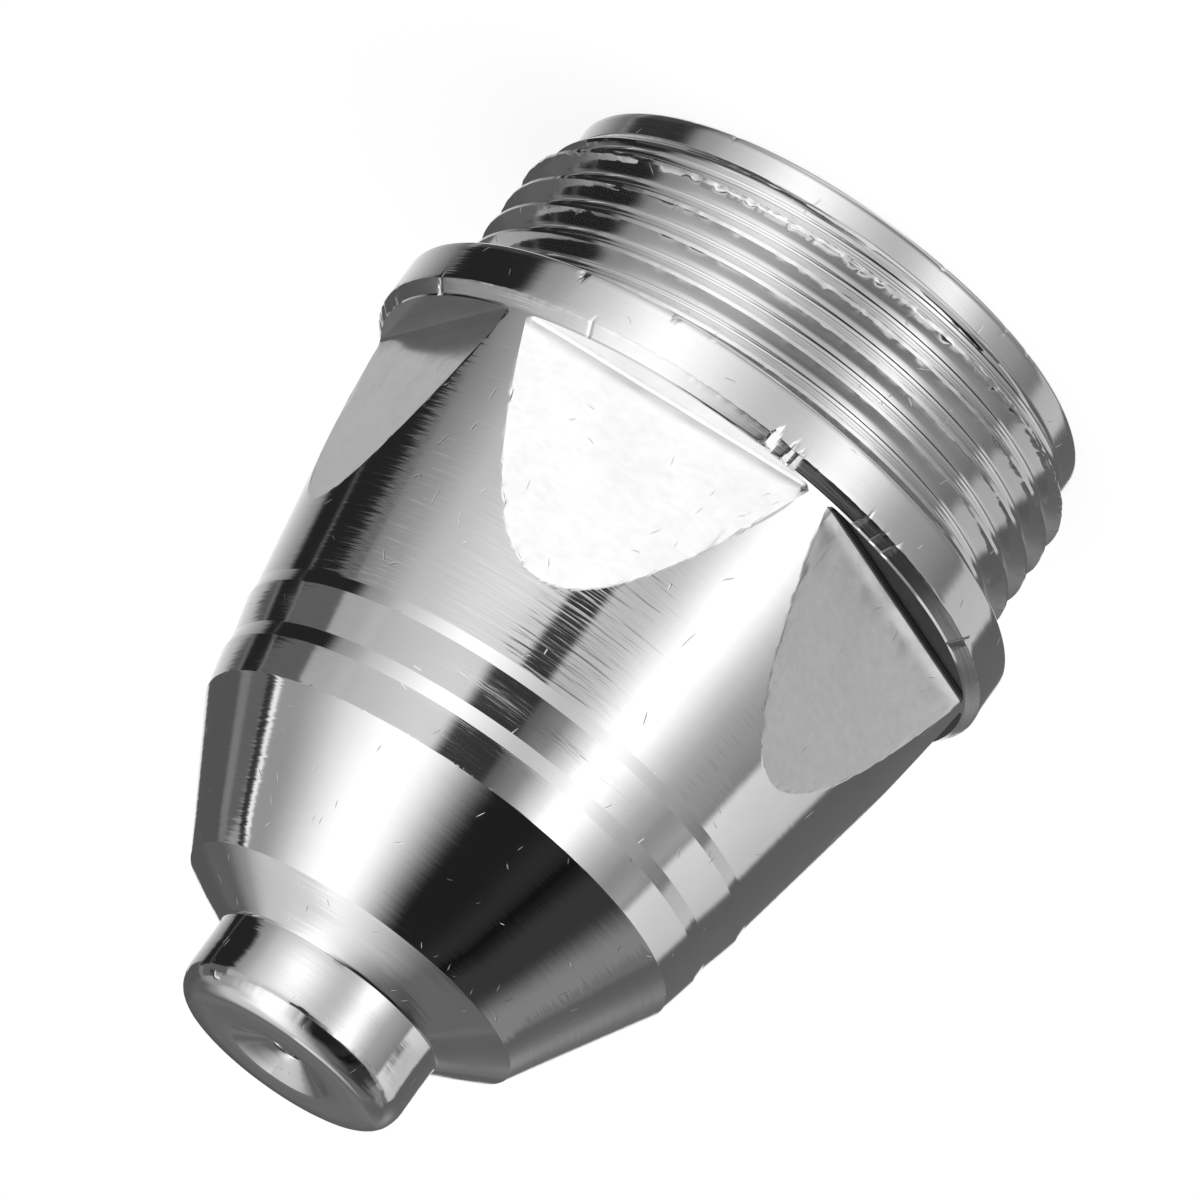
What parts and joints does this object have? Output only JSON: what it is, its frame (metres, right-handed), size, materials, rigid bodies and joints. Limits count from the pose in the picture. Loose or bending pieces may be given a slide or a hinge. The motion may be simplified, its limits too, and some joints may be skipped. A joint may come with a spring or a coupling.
{
  "type": "plasma torch nozzle",
  "caption": "Turned torch nozzle with a threaded neck, flange, wrench flats on a slow cone, turned rings, a steep cone and a rounded nose with a small orifice.",
  "frame": {"origin": "centre of the thread-end face, on the nozzle's axis", "axes": "+Z along the axis towards the cutting tip; -Y is square to one of the six wrench flats"},
  "size_m": [0.0264, 0.0264, 0.0355],
  "materials": {
    "nozzle": "bright plate over copper, with fine turning marks and light wear"
  },
  "bodies": {
    "root": {"nozzle": "nozzle"}
  },
  "joints": []
}
